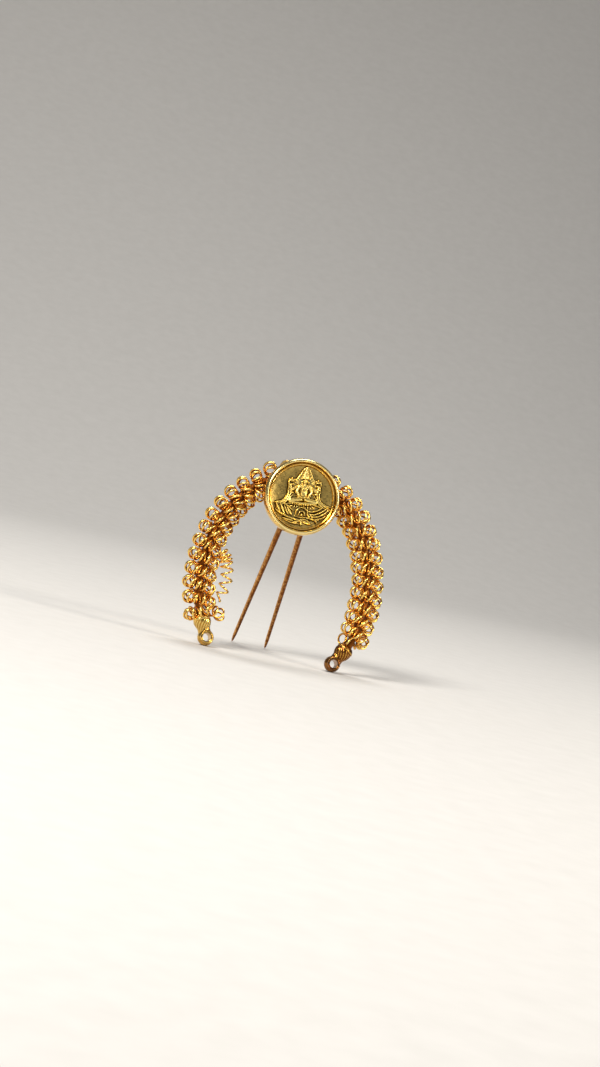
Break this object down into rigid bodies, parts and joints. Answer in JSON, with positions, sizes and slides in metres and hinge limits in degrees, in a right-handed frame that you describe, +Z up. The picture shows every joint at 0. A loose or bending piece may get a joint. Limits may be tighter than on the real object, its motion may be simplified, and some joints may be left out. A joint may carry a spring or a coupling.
{
  "type": "hair bun ornament",
  "caption": "Hair bun pin: a bezel-set relief coin on a horseshoe of coiled spring that frames the bun, with end caps and a two-prong fork that goes into the hair.",
  "frame": {"origin": "middle of the bottom of the part's box, on the surface that the two end caps and the two prong tips stand on", "axes": "+Z up, arch leaning back a little; +X to the right as the coin faces the viewer; +Y back from the coin towards the prong tips"},
  "size_m": [0.0648, 0.0404, 0.0644],
  "materials": {
    "rim_gold": "polished pale gold plate",
    "coin_gold": "satin olive gold plate",
    "coil_gold": "polished warm gold plate",
    "core_gold": "satin copper gold plate",
    "cap_gold": "satin pale gold plate",
    "fork_gold": "satin copper gold plate"
  },
  "bodies": {
    "root": {"bezel": "rim_gold", "coin": "coin_gold", "core_wire": "core_gold", "coil_left": "coil_gold", "coil_right": "coil_gold", "end_cap_left": "cap_gold", "end_cap_right": "cap_gold", "hair_fork": "fork_gold", "loose_coil": "coil_gold"}
  },
  "joints": []
}
